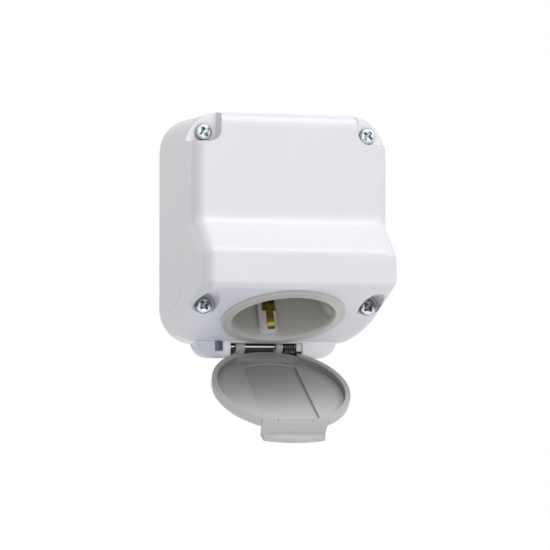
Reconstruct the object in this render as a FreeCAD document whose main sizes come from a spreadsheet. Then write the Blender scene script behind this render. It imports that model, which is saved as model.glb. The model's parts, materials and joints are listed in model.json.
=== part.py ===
import FreeCAD, Part
import os
import Sketcher

# A wall-mounted outdoor socket: a moulded box whose lower front leans out over a round
# recess that looks down and forward, closed by a sprung lid hinged at the wall side.
# Millimetres. X runs to the right, Y into the wall, Z up. The origin is on the wall,
# at the middle of the box's back.

DRIVING_SIZES = (
    # box and cover
    ("box_width", 83.4),
    ("box_height", 90.6),
    ("corner_radius", 14),
    ("side_draft", 1.5),
    ("wall", 2.8),
    ("upper_face", 44.4),
    ("bulge_face", 59.5),
    ("step_top", 47.6),
    ("step_bottom", 34.4),
    ("front_edge_radius", 6),
    ("step_top_radius", 8),
    ("step_bottom_radius", 4.5),
    ("bulge_edge_radius", 3.5),
    ("seam", 31.7),
    ("seam_lift", 9),
    ("foot", 10.6),
    # cover screws and their seats
    ("screw_side", 8.25),
    ("screw_top", 8.9),
    ("screw_bottom", 14),
    ("screw_seat", 36.6),
    ("screw_length", 22),
    ("screw_radius", 2),
    ("head_radius", 3.3),
    ("head_height", 2.5),
    ("head_crown", 1.5),
    ("cross_span", 4.2),
    ("cross_width", 1),
    ("cross_depth", 1.7),
    ("seal_thickness", 0.6),
    ("seal_radius", 2.9),
    ("corner_reach", 5.45),
    ("corner_drop", 3.9),
    ("corner_pocket_radius", 4.5),
    ("well_radius", 4.5),
    ("well_wall", 1.6),
    ("boss_radius", 4.2),
    ("boss_joint", 25),
    # gasket
    ("gasket_inset", 0.8),
    ("gasket_width", 1.2),
    ("gasket_height", 1.2),
    # wall fixing and cable entry
    ("wall_hole_side", 15.7),
    ("wall_hole_end", 15.3),
    ("wall_hole_radius", 2.3),
    ("wall_pad_radius", 5.5),
    ("wall_pad_height", 1.6),
    ("entry_drop", 21.3),
    ("entry_radius", 8),
    ("knockout_radius", 10),
    ("knockout_groove", 0.6),
    ("knockout_forward", 16),
    # socket recess
    ("tilt", 21.5),
    ("mouth_forward", 34.7),
    ("mouth_rise", 8.9),
    ("collar_stand", 1.62),
    ("collar_radius", 24.5),
    ("collar_round", 0.8),
    ("mouth_radius", 20.5),
    ("recess_radius", 20),
    ("recess_depth", 17.5),
    ("recess_floor", 2.5),
    ("cup_radius", 22.2),
    ("hole_clearance", 0.2),
    ("pin_spacing", 19),
    ("pin_hole_radius", 2.75),
    ("rib_width", 5.2),
    ("rib_height", 3.4),
    ("rib_start", 2.6),
    ("guide_near", 2.6),
    ("guide_far", 4.6),
    ("guide_height", 2.8),
    ("guide_start", 1.8),
    ("guide_round", 2.2),
    ("clip_slot_start", 3.6),
    ("seal_groove_depth", 0.8),
    ("seal_groove_width", 1.4),
    ("nut_radius", 24),
    ("nut_height", 4),
    ("nut_notch", 5),
    # contacts
    ("contact_radius", 3.4),
    ("pin_radius", 2.4),
    ("contact_length", 13.6),
    ("contact_slit", 0.8),
    ("strip_thickness", 0.8),
    ("strip_width", 5.8),
    ("clip_lean", 2.5),
    ("clip_width", 2.8),
    ("clip_shoulder", 11.5),
    ("carrier_length", 41),
    ("carrier_depth", 18),
    ("carrier_flange", 3.5),
    ("carrier_body", 29),
    ("carrier_front", 15),
    ("carrier_rear", 13),
    ("fit", 0.1),
    ("clamp_width", 7.4),
    ("clamp_length", 6.6),
    ("clamp_height", 8),
    ("clamp_offset", 8.8),
    ("wire_radius", 1.6),
    ("terminal_screw_radius", 1.5),
    ("terminal_head_radius", 2.5),
    ("terminal_head_height", 1.6),
    ("carrier_screw_radius", 1.25),
    ("carrier_screw_head", 2.4),
    ("carrier_screw_length", 13),
    # lid and hinge
    ("lid_open", 54.5),
    ("hinge_reach", 29.4),
    ("hinge_inset", 0.94),
    ("lid_radius", 27.56),
    ("rim_wall", 2),
    ("rim_top", 0.16),
    ("lid_height", 4.7),
    ("lid_plate", 1.8),
    ("lid_edge_radius", 2.2),
    ("lid_clearance", 0.3),
    ("band_near", 21.2),
    ("band_far", 23),
    ("band_radius", 21.2),
    ("band_depth", 0.9),
    ("block_width", 25),
    ("block_reach", 7.4),
    ("block_drop", 1.46),
    ("knuckle_radius", 2.8),
    ("knuckle_left_in", 4.4),
    ("knuckle_left_width", 3.6),
    ("knuckle_right_in", 9.4),
    ("knuckle_right_width", 2.6),
    ("hinge_pin_radius", 1),
    ("running_fit", 0.06),
    ("pin_left", 17.6),
    ("pin_right", 18),
    ("tab_face", 24.6),
    ("tab_width", 26.8),
    ("tab_foot_width", 25.4),
    ("tab_wall", 1.8),
    ("tab_height", 8.5),
    ("tab_lip", 4),
    ("tab_lip_height", 2),
    ("tab_corner", 3.2),
    ("tab_curve", 52),
    ("chin_width", 58.6),
    ("chin_drop", 4.6),
    ("chin_corner", 7.5),
    ("chin_edge", 1.2),
    ("gap_width", 30),
    ("gap_back", 2),
    ("trough_radius", 3.8),
    ("trough_wall", 2),
    ("window_near", 18.1),
    ("window_width", 3.3),
    ("window_depth", 5),
    ("window_drop", 1.8),
    ("window_rise", 0.8),
    ("boss_side", 3.6),
    ("boss_length", 2.1),
    ("spring_radius", 1.9),
    ("spring_wire", 0.35),
    ("spring_turns", 4),
    ("spring_end_gap", 0.35),
    ("spring_leg", 6),
)

doc = FreeCAD.newDocument("outdoor_socket")
sheet = doc.addObject("Spreadsheet::Sheet", "Dims")
for row, (alias, size) in enumerate(DRIVING_SIZES, start=1):
    sheet.set(f"A{row}", alias)
    sheet.set(f"B{row}", str(size))
    sheet.setAlias(f"B{row}", alias)
doc.recompute()

LONG = "4 * Dims.box_width"


def value(expression):
    """The number that an expression on the sheet gives now."""
    return float(sheet.evalExpression(expression))


MOUTH_HEIGHT = "(Dims.mouth_rise - Dims.box_height / 2)"
STEP_TOP = "(Dims.step_top - Dims.box_height / 2)"
STEP_BOTTOM = "(Dims.step_bottom - Dims.box_height / 2)"


def slope_at(forward):
    """Height of the leaning underside at a distance forward of the wall."""
    rise = f"(Dims.collar_stand + (({forward}) - Dims.mouth_forward) * sin(Dims.tilt))"
    return f"({MOUTH_HEIGHT} + {rise} / cos(Dims.tilt))"


HINGE_FORWARD = (
    "(Dims.mouth_forward - Dims.hinge_reach * cos(Dims.tilt) - Dims.hinge_inset * sin(Dims.tilt))"
)
HINGE_HEIGHT = (
    f"({MOUTH_HEIGHT} - Dims.hinge_reach * sin(Dims.tilt) + Dims.hinge_inset * cos(Dims.tilt))"
)
SEAM_LOW = f"({slope_at('Dims.seam')} + Dims.seam_lift)"
SEAM_FOOT = f"({slope_at('Dims.foot')} + Dims.seam_lift)"
CHIN_BOTTOM = f"({HINGE_HEIGHT} - Dims.chin_drop)"
ENTRY_HEIGHT = "(Dims.box_height / 2 - Dims.entry_drop)"


def origin_plane(body, role):
    """One of a body's own origin planes."""
    return next(part for part in body.Origin.OriginFeatures if part.Role == role)


def new_body(name):
    return doc.addObject("PartDesign::Body", name)


def new_sketch(body, name, plane, offset="0"):
    """An empty sketch on a body's plane, moved along the plane's normal."""
    sketch = body.newObject("Sketcher::SketchObject", name)
    sketch.AttachmentSupport = (origin_plane(body, plane), [""])
    sketch.MapMode = "FlatFace"
    sketch.setExpression("AttachmentOffset.Base.z", offset)
    return sketch


def bind(sketch, kind, first, position, expression):
    """Hold one coordinate of a sketch point at an expression."""
    constraint = Sketcher.Constraint(kind, -1, 1, first, position, value(expression))
    index = sketch.addConstraint(constraint)
    sketch.setExpression(f"Constraints[{index}]", expression)


def draw_polygon(sketch, corners):
    """A closed run of straight sides with each corner held at a pair of expressions."""
    start = sketch.GeometryCount
    count = len(corners)
    spots = [FreeCAD.Vector(value(x), value(y), 0) for x, y in corners]
    for index in range(count):
        sketch.addGeometry(Part.LineSegment(spots[index], spots[(index + 1) % count]), False)
    for index in range(count):
        following = start + (index + 1) % count
        sketch.addConstraint(Sketcher.Constraint("Coincident", start + index, 2, following, 1))
    for index, (x, y) in enumerate(corners):
        bind(sketch, "DistanceX", start + index, 1, x)
        bind(sketch, "DistanceY", start + index, 1, y)


def draw_circle(sketch, x, y, radius):
    """A circle with its centre and radius held at expressions."""
    centre = FreeCAD.Vector(value(x), value(y), 0)
    index = sketch.addGeometry(Part.Circle(centre, FreeCAD.Vector(0, 0, 1), value(radius)), False)
    bind(sketch, "DistanceX", index, 3, x)
    bind(sketch, "DistanceY", index, 3, y)
    held = sketch.addConstraint(Sketcher.Constraint("Radius", index, value(radius)))
    sketch.setExpression(f"Constraints[{held}]", radius)


def pad(body, name, sketch, length, both_ways=False, backwards=False, draft=None):
    feature = body.newObject("PartDesign::Pad", name)
    feature.Profile = sketch
    feature.setExpression("Length", length)
    feature.SideType = "Symmetric" if both_ways else "One side"
    feature.Reversed = backwards
    if draft is not None:
        feature.setExpression("TaperAngle", draft)
    return feature


def pocket(body, name, sketch, length=LONG, both_ways=True, backwards=False):
    feature = body.newObject("PartDesign::Pocket", name)
    feature.Profile = sketch
    feature.setExpression("Length", length)
    feature.SideType = "Symmetric" if both_ways else "One side"
    feature.Reversed = backwards
    return feature


def revolve(body, name, sketch, axis):
    feature = body.newObject("PartDesign::Revolution", name)
    feature.Profile = sketch
    feature.ReferenceAxis = (origin_plane(body, axis), [""])
    feature.Angle = 360
    return feature


def edges_where(shape, wanted):
    """Names of the edges that a test picks by their own geometry."""
    return [f"Edge{number}" for number, edge in enumerate(shape.Edges, start=1) if wanted(edge)]


def round_edges(body, name, base, wanted, radius):
    """A fillet on a body's edges, picked by a test."""
    doc.recompute()
    feature = body.newObject("PartDesign::Fillet", name)
    feature.Base = (base, edges_where(base.Shape, wanted))
    feature.setExpression("Radius", radius)
    return feature


def place(thing, x, y, z, turn="0", axis="1; 0; 0"):
    """Put a solid at a point, turned by an angle about an axis through that point."""
    turned = f"rotation(vector({axis}); {turn})"
    thing.setExpression("Placement", f"placement(vector({x}; {y}; {z}); {turned})")
    return thing


def bar(name, radius, length, x, y, z, turn="0", axis="1; 0; 0"):
    """A round bar from a point; with no turn it points up Z."""
    thing = doc.addObject("Part::Cylinder", name)
    thing.setExpression("Radius", radius)
    thing.setExpression("Height", length)
    return place(thing, x, y, z, turn, axis)


def upright_bar(name, radius, x, y, start, end):
    """A round bar along Z between two heights."""
    return bar(name, radius, f"({end}) - ({start})", x, y, start)


def forward_bar(name, radius, x, height, start, end):
    """A round bar pointing away from the wall between two distances."""
    return bar(name, radius, f"({end}) - ({start})", x, f"-({start})", height, turn="90")


def cross_bar(name, radius, left, right, y="0", z="0"):
    """A round bar along X between two places."""
    return bar(name, radius, f"({right}) - ({left})", left, y, z, turn="90", axis="0; 1; 0")


def block(name, x, y, z):
    """A box between pairs of expressions along X, Y and Z of its own frame."""
    thing = doc.addObject("Part::Box", name)
    for side, (low, high) in zip(("Length", "Width", "Height"), (x, y, z)):
        thing.setExpression(side, f"({high}) - ({low})")
    return place(thing, x[0], y[0], z[0])


def cut(name, base, *tools):
    """A solid less one or more others."""
    thing = doc.addObject("Part::Cut", name)
    thing.Base = base
    thing.Tool = tools[0] if len(tools) == 1 else fuse(name + "_tools", *tools)
    thing.Refine = True
    return thing


def fuse(name, *solids):
    thing = doc.addObject("Part::MultiFuse", name)
    thing.Shapes = list(solids)
    thing.Refine = True
    return thing


def common(name, *solids):
    thing = doc.addObject("Part::MultiCommon", name)
    thing.Shapes = list(solids)
    thing.Refine = True
    return thing


def group(name, *solids):
    """Several separate solids kept side by side as one part."""
    thing = doc.addObject("Part::Compound", name)
    thing.Links = list(solids)
    return thing


SOCKET_FRAME = (
    f"placement(vector(0; -Dims.mouth_forward; {MOUTH_HEIGHT});"
    " rotation(vector(1; 0; 0); 180 - Dims.tilt))"
)
LID_FRAME = (
    f"placement(vector(0; -{HINGE_FORWARD}; {HINGE_HEIGHT});"
    " rotation(vector(1; 0; 0); 180 - Dims.tilt + Dims.lid_open))"
)

NODES = {}


def finish(name, thing, frame=None):
    """Record a finished piece under its node name, seated in its frame if it has one."""
    if frame is not None:
        thing.setExpression("Placement", frame)
    thing.Label = name
    NODES[name] = thing


def lean_shift(inset):
    """How far a step corner drops when the front faces are drawn in by an inset."""
    lean = "atan((Dims.bulge_face - Dims.upper_face) / (Dims.step_top - Dims.step_bottom))"
    return f"({inset} * tan({lean} / 2))"


def front_line(inset):
    """Corners of the box's front and underside in side view, from the top to the wall."""
    upper = f"(Dims.upper_face - {inset})"
    bulge = f"(Dims.bulge_face - {inset})"
    drop = lean_shift(inset)
    under = f"{inset} / cos(Dims.tilt)"
    return [
        (upper, "Dims.box_height"),
        (upper, f"{STEP_TOP} - {drop}"),
        (bulge, f"{STEP_BOTTOM} - {drop}"),
        (bulge, f"{slope_at(bulge)} + {under}"),
        ("-Dims.corner_radius", f"{slope_at('-Dims.corner_radius')} + {under}"),
    ]


def near_line(edge, line):
    """Whether an edge lies on a run of straight lines in side view."""
    for part in (0, 0.25, 0.5, 0.75, 1):
        low, high = edge.ParameterRange
        point = edge.valueAt(low + part * (high - low))
        spot = FreeCAD.Vector(-point.y, point.z, 0)
        if min(spot.distanceToLineSegment(a, b).Length for a, b in zip(line, line[1:])) > 0.01:
            return False
    return True


def is_fold(edge, corner):
    """Whether an edge crosses the box at one corner of its side view."""
    middle = edge.CenterOfMass
    return edge.BoundBox.XLength > 20 and abs(-middle.y - corner.x) + abs(middle.z - corner.y) < 0.01


def housing_form(name, inset, back="0", rounded=False):
    """The whole box as one solid, drawn in by an inset and starting off the wall."""
    body = new_body(name)
    outline = new_sketch(body, name + "_outline", "XZ_Plane")
    half_x = f"(Dims.box_width / 2 - {inset})"
    half_z = f"(Dims.box_height / 2 - {inset})"
    draw_polygon(
        outline,
        [
            (f"-{half_x}", f"-{half_z}"),
            (half_x, f"-{half_z}"),
            (half_x, half_z),
            (f"-{half_x}", half_z),
        ],
    )
    depth = "Dims.bulge_face + Dims.corner_radius"
    drawn = pad(body, name + "_depth", outline, depth, draft="-Dims.side_draft")
    corners = round_edges(
        body,
        name + "_corners",
        drawn,
        lambda edge: edge.BoundBox.YLength > value("Dims.bulge_face"),
        f"Dims.corner_radius - {inset}",
    )
    profile = front_line(inset)
    ahead = "-(Dims.bulge_face + 2 * Dims.corner_radius)"
    side = new_sketch(body, name + "_side", "YZ_Plane")
    outside = [
        ("Dims.corner_radius", "-Dims.box_height"),
        (ahead, "-Dims.box_height"),
        (ahead, "Dims.box_height"),
    ]
    draw_polygon(side, [(f"-({f})", z) for f, z in profile] + outside)
    shaped = pocket(body, name + "_front", side)
    if back != "0":
        behind = new_sketch(body, name + "_behind", "YZ_Plane")
        draw_polygon(
            behind,
            [
                (f"-{back}", "-Dims.box_height"),
                ("Dims.corner_radius", "-Dims.box_height"),
                ("Dims.corner_radius", "Dims.box_height"),
                (f"-{back}", "Dims.box_height"),
            ],
        )
        pocket(body, name + "_back", behind)
    if rounded:
        line = [FreeCAD.Vector(value(f), value(z), 0) for f, z in profile]
        folds = line[1:4]
        loop = round_edges(
            body,
            name + "_edges",
            shaped,
            lambda edge: near_line(edge, line) and not any(is_fold(edge, c) for c in folds),
            "Dims.front_edge_radius",
        )
        last = loop
        radii = ("Dims.step_top_radius", "Dims.step_bottom_radius", "Dims.bulge_edge_radius")
        for number, (fold, radius) in enumerate(zip(folds, radii), start=1):
            last = round_edges(
                body, f"{name}_fold_{number}", last, lambda edge: is_fold(edge, fold), radius
            )
    return body


def rear_zone():
    """Everything on the back box's side of the stepped seam, in side view."""
    body = new_body("rear_zone")
    side = new_sketch(body, "rear_zone_side", "YZ_Plane")
    line = [
        ("-Dims.corner_radius", "Dims.box_height"),
        ("Dims.seam", "Dims.box_height"),
        ("Dims.seam", SEAM_LOW),
        ("Dims.foot", SEAM_FOOT),
        ("Dims.foot", "-Dims.box_height"),
        ("-Dims.corner_radius", "-Dims.box_height"),
    ]
    draw_polygon(side, [(f"-({f})", z) for f, z in line])
    pad(body, "rear_zone_pad", side, LONG, both_ways=True)
    return body


def seam_band():
    """A layer of the gasket's height along the stepped seam, half on each side of it."""
    body = new_body("seam_band")
    side = new_sketch(body, "seam_band_side", "YZ_Plane")
    half = "(Dims.gasket_height / 2)"
    turn = f"({half} * (1 - sin(Dims.tilt)) / cos(Dims.tilt))"
    line = [
        (f"Dims.seam - {half}", "Dims.box_height"),
        (f"Dims.seam + {half}", "Dims.box_height"),
        (f"Dims.seam + {half}", f"{SEAM_LOW} - {turn}"),
        (f"Dims.foot + {half}", f"{SEAM_FOOT} - {turn}"),
        (f"Dims.foot + {half}", "-Dims.box_height"),
        (f"Dims.foot - {half}", "-Dims.box_height"),
        (f"Dims.foot - {half}", f"{SEAM_FOOT} + {turn}"),
        (f"Dims.seam - {half}", f"{SEAM_LOW} + {turn}"),
    ]
    draw_polygon(side, [(f"-({f})", z) for f, z in line])
    pad(body, "seam_band_pad", side, LONG, both_ways=True)
    return body


def screw_places():
    """The four cover screws: a name, the place across and up, and whether it is a lower one."""
    for across in (-1, 1):
        x = f"({across} * (Dims.box_width / 2 - Dims.screw_side))"
        side = "left" if across < 0 else "right"
        yield f"{side}_low", x, "(Dims.screw_bottom - Dims.box_height / 2)", True
        yield f"{side}_high", x, "(Dims.box_height / 2 - Dims.screw_top)", False


def wall_places():
    """The four wall-screw holes in the box's back."""
    for across in (-1, 1):
        for up in (-1, 1):
            name = ("left" if across < 0 else "right") + ("_low" if up < 0 else "_high")
            x = f"({across} * (Dims.box_width / 2 - Dims.wall_hole_side))"
            yield name, x, f"({up} * (Dims.box_height / 2 - Dims.wall_hole_end))"


def hinge_chin():
    """The rounded block under the box that carries the lid's pin, with its front edges eased."""
    body = new_body("hinge_chin")
    outline = new_sketch(body, "hinge_chin_outline", "XZ_Plane")
    half = "(Dims.chin_width / 2)"
    top = "(-Dims.box_height / 2 + 0.9 * Dims.wall)"
    draw_polygon(
        outline,
        [(f"-{half}", CHIN_BOTTOM), (half, CHIN_BOTTOM), (half, top), (f"-{half}", top)],
    )
    drawn = pad(body, "hinge_chin_pad", outline, "Dims.foot")
    low = value(CHIN_BOTTOM)
    rounded = round_edges(
        body,
        "hinge_chin_corners",
        drawn,
        lambda edge: edge.BoundBox.YLength > 1 and abs(edge.CenterOfMass.z - low) < 0.01,
        "Dims.chin_corner",
    )
    front = value("Dims.foot")
    ceiling = value(top)
    round_edges(
        body,
        "hinge_chin_front",
        rounded,
        lambda edge: abs(edge.CenterOfMass.y + front) < 0.01
        and edge.BoundBox.YLength < 0.01
        and edge.CenterOfMass.z < ceiling - 0.01,
        "Dims.chin_edge",
    )
    return body


def hinge_bar(name, radius, left, right):
    """A round bar along the hinge line."""
    return cross_bar(name, radius, left, right, f"-{HINGE_FORWARD}", HINGE_HEIGHT)


def upright_block(name, x, forward, height):
    """A box between pairs of expressions: across, forward of the wall, and up."""
    return block(name, x, (f"-({forward[1]})", f"-({forward[0]})"), height)


def back_box(shell, outer, zone, groove):
    """The box half on the wall: its shell, screw posts, wall-screw pads and hinge chin."""
    rear_shell = common("rear_shell", shell, zone)
    posts = []
    bores = []
    for name, x, z, low in screw_places():
        end = "Dims.boss_joint" if low else "Dims.seam"
        start = "(Dims.wall / 2)"
        posts.append(forward_bar(f"post_{name}", "Dims.boss_radius", x, z, start, end))
        tip = "(Dims.screw_seat - Dims.screw_length - Dims.fit)"
        bores.append(forward_bar(f"pilot_{name}", "Dims.screw_radius", x, z, tip, f"{end} + 1"))
    for name, x, z in wall_places():
        top = "(Dims.wall + Dims.wall_pad_height)"
        start = "(Dims.wall / 2)"
        posts.append(forward_bar(f"pad_{name}", "Dims.wall_pad_radius", x, z, start, top))
        bores.append(forward_bar(f"hole_{name}", "Dims.wall_hole_radius", x, z, "-1", f"{top} + 1"))
    half_gap = "(Dims.gap_width / 2)"
    trough_radius = "(Dims.trough_radius + Dims.trough_wall)"
    trough_end = f"({half_gap} + Dims.trough_wall)"
    posts.append(hinge_bar("trough_bar", trough_radius, f"-{trough_end}", trough_end))
    inside = common("rear_fittings", fuse("rear_fitting_bars", *posts), outer, zone)
    lug = upright_block(
        "spring_lug",
        (f"{half_gap} - Dims.boss_length", f"{half_gap} + 1"),
        (f"{HINGE_FORWARD} - Dims.boss_side / 2", f"{HINGE_FORWARD} + Dims.boss_side / 2"),
        (f"{HINGE_HEIGHT} - Dims.boss_side / 2", f"{HINGE_HEIGHT} + Dims.boss_side / 2"),
    )
    gap = upright_block(
        "hinge_gap",
        (f"-{half_gap}", half_gap),
        ("Dims.gap_back", "Dims.foot + 1"),
        (f"{CHIN_BOTTOM} - 1", HINGE_HEIGHT),
    )
    trough = hinge_bar("hinge_trough", "Dims.trough_radius", f"-{half_gap}", half_gap)
    window = upright_block(
        "pin_window",
        ("-Dims.window_near - Dims.window_width", "-Dims.window_near"),
        ("Dims.foot - Dims.window_depth", "Dims.foot + 1"),
        (f"{HINGE_HEIGHT} - Dims.window_drop", slope_at("Dims.foot") + " + Dims.window_rise"),
    )
    bore = hinge_bar("pin_bore", "Dims.hinge_pin_radius", "-Dims.pin_left", "Dims.pin_right")
    entry = forward_bar(
        "entry_hole", "Dims.entry_radius", "0", ENTRY_HEIGHT, "-1", "Dims.wall + 1"
    )
    top = "(Dims.box_height / 2)"
    spot = ("0", "-Dims.knockout_forward")
    outside = "(Dims.knockout_radius + Dims.knockout_groove)"
    outer_ring = upright_bar(
        "knockout_outer", outside, *spot, f"{top} - Dims.wall / 2", f"{top} + 1"
    )
    inner_ring = upright_bar(
        "knockout_inner", "Dims.knockout_radius", *spot, f"{top} - Dims.wall", f"{top} + 2"
    )
    knockout = cut("knockout_ring", outer_ring, inner_ring)
    solid = fuse("rear_solid", rear_shell, inside, hinge_chin())
    openings = (gap, trough, window, entry, knockout, groove, *bores)
    opened = cut("rear_opened", solid, *openings)
    finish("back_box", cut("back_box", fuse("rear_with_lug", opened, lug), bore))


def corner_pocket(name, across, inset):
    """The square corner cut-out over an upper screw, grown by an inset, with one round corner."""
    body = new_body(name)
    outline = new_sketch(body, name + "_outline", "XZ_Plane", "Dims.screw_seat - " + inset)
    near = f"({across} * (Dims.box_width / 2 - Dims.screw_side - Dims.corner_reach - {inset}))"
    far = f"({across} * Dims.box_width)"
    low = f"(Dims.box_height / 2 - Dims.screw_top - Dims.corner_drop - {inset})"
    high = "Dims.box_height"
    draw_polygon(outline, [(near, low), (far, low), (far, high), (near, high)])
    drawn = pad(body, name + "_pad", outline, "Dims.bulge_face")
    spot = (value(near), value(low))
    round_edges(
        body,
        name + "_corner",
        drawn,
        lambda edge: edge.BoundBox.YLength > 1
        and abs(edge.CenterOfMass.x - spot[0]) + abs(edge.CenterOfMass.z - spot[1]) < 0.01,
        f"Dims.corner_pocket_radius + {inset}",
    )
    return body


def front_cover(shell, outer, zone, groove):
    """The box half that carries the socket, with open corners and wells for its screws."""
    front_shell = cut("front_shell", shell, zone)
    front_zone = cut("front_zone", outer, zone)
    ahead = []
    behind = []
    openings = []
    for name, x, z, low in screw_places():
        if low:
            well = "(Dims.well_radius + Dims.well_wall)"
            far = "Dims.bulge_face"
            ahead.append(forward_bar(f"well_wall_{name}", well, x, z, "Dims.seam", far))
            reach = "(Dims.seam + 1)"
            behind.append(
                forward_bar(f"stem_{name}", "Dims.boss_radius", x, z, "Dims.boss_joint", reach)
            )
            bore = forward_bar(
                f"well_{name}", "Dims.well_radius", x, z, "Dims.screw_seat", f"{far} + 1"
            )
            openings.append(bore)
        else:
            across = -1 if name.startswith("left") else 1
            ahead.append(corner_pocket(f"corner_wall_{name}", across, "Dims.wall"))
            openings.append(corner_pocket(f"corner_pocket_{name}", across, "0"))
        start = "(Dims.boss_joint - 1)"
        clear = "(Dims.screw_radius + Dims.hole_clearance)"
        openings.append(forward_bar(f"clear_{name}", clear, x, z, start, "Dims.screw_seat + 1"))
    front_fittings = common("front_fittings", fuse("front_bars", *ahead), front_zone)
    stems = common("well_stems", fuse("stem_bars", *behind), outer)
    hole = bar(
        "collar_hole",
        "Dims.cup_radius + Dims.hole_clearance",
        "2 * Dims.recess_depth",
        "0",
        "-Dims.mouth_forward + Dims.recess_depth * sin(Dims.tilt)",
        f"{MOUTH_HEIGHT} + Dims.recess_depth * cos(Dims.tilt)",
        turn="180 - Dims.tilt",
    )
    seal_space = seal_ring("seal_space")
    seal_space.setExpression("Placement", SOCKET_FRAME)
    solid = fuse("front_solid", front_shell, front_fittings, stems)
    opened = cut("cover_with_mouth", solid, hole, seal_space)
    finish("front_cover", cut("front_cover", opened, groove, *openings))


def seal_ring(name):
    """The flat ring sunk in the cover under the collar's flange."""
    outer = "(Dims.collar_radius - Dims.collar_round)"
    face = "-Dims.collar_stand"
    floor = f"{face} - Dims.seal_groove_depth"
    inner = f"({outer} - Dims.seal_groove_width)"
    ring = upright_bar(f"{name}_outer", outer, "0", "0", floor, face)
    hollow = upright_bar(f"{name}_inner", inner, "0", "0", f"{floor} - 1", f"{face} + 1")
    return cut(name, ring, hollow)


def cover_screw(name, x, z, spin):
    """A pan-head screw with a cross recess, seated on its sealing ring and turned about itself."""
    body = new_body(name)
    profile = new_sketch(body, name + "_profile", "XY_Plane")
    seat = "Dims.seal_thickness"
    top = f"({seat} + Dims.head_height)"
    draw_polygon(
        profile,
        [
            ("0", "-Dims.screw_length"),
            ("Dims.screw_radius * 0.5", "-Dims.screw_length"),
            ("Dims.screw_radius", "-Dims.screw_length + Dims.screw_radius"),
            ("Dims.screw_radius", seat),
            ("Dims.head_radius", seat),
            ("Dims.head_radius", top),
            ("0", top),
        ],
    )
    turned = revolve(body, name + "_turned", profile, "Y_Axis")
    crest = value(top)
    round_edges(
        body,
        name + "_crown",
        turned,
        lambda edge: abs(edge.BoundBox.YMin - crest) < 0.01 and edge.BoundBox.YLength < 0.01,
        "Dims.head_crown",
    )
    cross = new_sketch(body, name + "_cross", "XZ_Plane", f"-{top}")
    half_long = "(Dims.cross_span / 2)"
    half_wide = "(Dims.cross_width / 2)"
    draw_polygon(
        cross,
        [
            (f"-{half_long}", f"-{half_wide}"),
            (f"-{half_wide}", f"-{half_wide}"),
            (f"-{half_wide}", f"-{half_long}"),
            (half_wide, f"-{half_long}"),
            (half_wide, f"-{half_wide}"),
            (half_long, f"-{half_wide}"),
            (half_long, half_wide),
            (half_wide, half_wide),
            (half_wide, half_long),
            (f"-{half_wide}", half_long),
            (f"-{half_wide}", half_wide),
            (f"-{half_long}", half_wide),
        ],
    )
    pocket(body, name + "_recess", cross, "Dims.cross_depth", both_ways=False, backwards=True)
    seated = f"placement(vector({x}; -Dims.screw_seat; {z}); rotation(vector(0; 0; 1); 180))"
    spun = f"placement(vector(0; 0; 0); rotation(vector(0; 1; 0); {spin}))"
    body.setExpression("Placement", f"{seated} * {spun}")
    return body


def cover_fasteners():
    """The cover's four screws and the rubber ring under each head."""
    screws = []
    rings = []
    spins = (38, 28, 40, 50)
    for (name, x, z, _), spin in zip(screw_places(), spins):
        screws.append(cover_screw(f"screw_{name}", x, z, spin))
        end = "(Dims.screw_seat + Dims.seal_thickness)"
        disc = forward_bar(f"disc_{name}", "Dims.seal_radius", x, z, "Dims.screw_seat", end)
        hole = forward_bar(
            f"disc_hole_{name}", "Dims.screw_radius", x, z, "Dims.screw_seat - 1", f"{end} + 1"
        )
        rings.append(cut(f"ring_{name}", disc, hole))
    finish("cover_screws", group("cover_screws", *screws))
    finish("screw_seals", group("screw_seals", *rings))


def cable_grommet():
    """The rubber membrane grommet that closes the cable entry in the box's back."""
    body = new_body("cable_grommet")
    profile = new_sketch(body, "grommet_profile", "XY_Plane")
    lip = "(Dims.entry_radius + Dims.wall_hole_radius)"
    neck = "Dims.entry_radius"
    draw_polygon(
        profile,
        [
            ("0", "Dims.gasket_width / 2"),
            (neck, "Dims.gasket_width / 2"),
            (neck, "Dims.wall"),
            (lip, "Dims.wall"),
            (lip, "Dims.wall + Dims.gasket_width"),
            ("0.7 * Dims.entry_radius", "Dims.wall + Dims.gasket_width"),
            ("0.4 * Dims.entry_radius", "Dims.wall + Dims.entry_radius"),
            ("0", "Dims.wall + Dims.entry_radius"),
        ],
    )
    revolve(body, "grommet_turned", profile, "Y_Axis")
    place(body, "0", "0", ENTRY_HEIGHT, turn="180", axis="0; 0; 1")
    finish("cable_grommet", body)


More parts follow.
